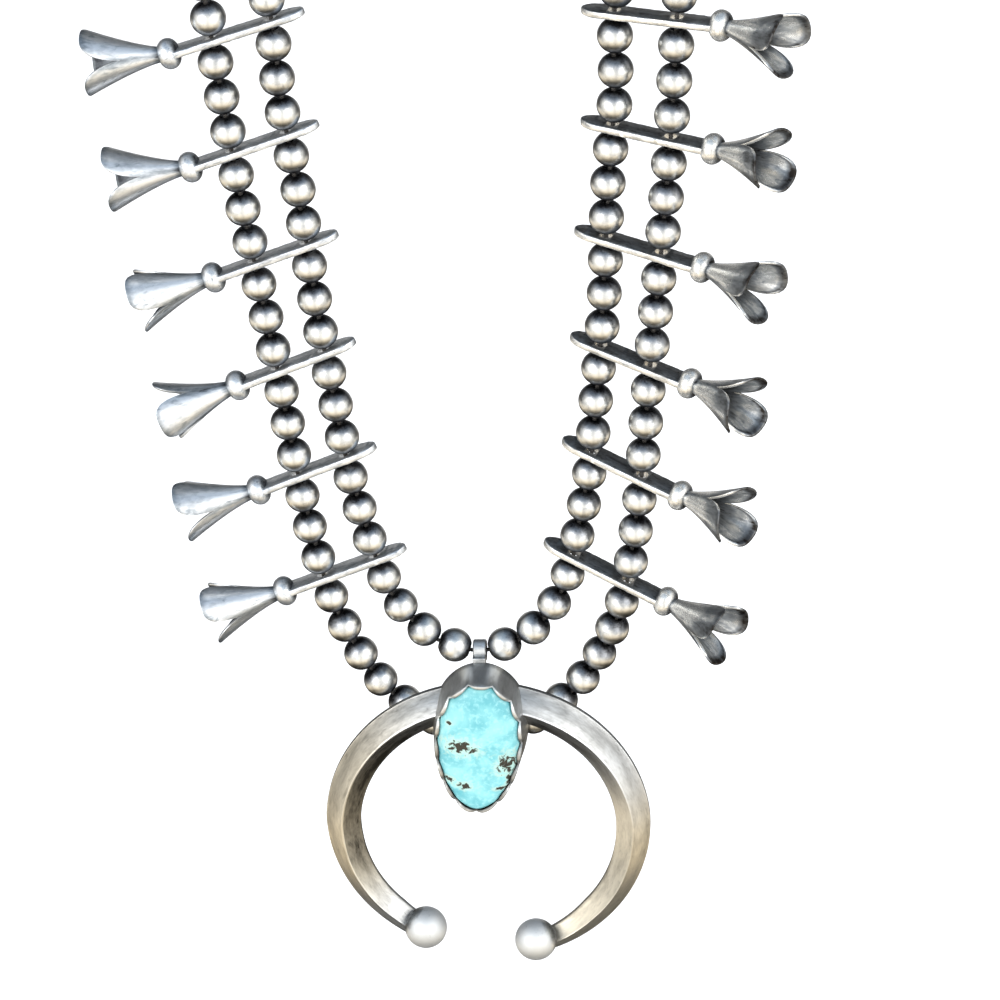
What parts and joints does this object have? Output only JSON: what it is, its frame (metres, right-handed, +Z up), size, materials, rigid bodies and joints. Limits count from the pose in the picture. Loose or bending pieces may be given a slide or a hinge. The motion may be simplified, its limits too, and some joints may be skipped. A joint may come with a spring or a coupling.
{
  "type": "squash blossom necklace",
  "caption": "Two-strand necklace of oxidised silver beads and trumpet-shaped blossoms, with a crescent pendant that holds a turquoise in a tall scalloped bezel.",
  "frame": {"origin": "middle of the clasp at the nape, where the necklace hangs when it is worn", "axes": "+Z up, the front of the necklace faces -Y, +X is the right-hand side as seen from the front"},
  "size_m": [0.1392, 0.1451, 0.2762],
  "materials": {
    "cast_silver": "cast sterling silver, brushed and lightly oxidised",
    "bead_silver": "polished silver, darkened by oxidation",
    "blossom_silver": "fabricated silver with bright edges and dark recesses",
    "turquoise": "polished turquoise with brown matrix",
    "thread": "dark stringing cord"
  },
  "bodies": {
    "strands": {"inner_beads": "bead_silver", "outer_beads": "bead_silver", "inner_thread": "thread", "outer_thread": "thread", "clasp": "bead_silver", "blossom_left_1": "blossom_silver", "blossom_left_2": "blossom_silver", "blossom_left_3": "blossom_silver", "blossom_left_4": "blossom_silver", "blossom_left_5": "blossom_silver", "blossom_left_6": "blossom_silver", "blossom_right_1": "blossom_silver", "blossom_right_2": "blossom_silver", "blossom_right_3": "blossom_silver", "blossom_right_4": "blossom_silver", "blossom_right_5": "blossom_silver", "blossom_right_6": "blossom_silver"},
    "pendant": {"naja": "cast_silver", "turquoise": "turquoise"}
  },
  "joints": [
    {"name": "pendant_swing", "type": "hinge", "parent": "strands", "child": "pendant", "pos_m": [0, -0.118, -0.2], "axis": [-1, 0, 0], "range_deg": [0, 65]}
  ]
}
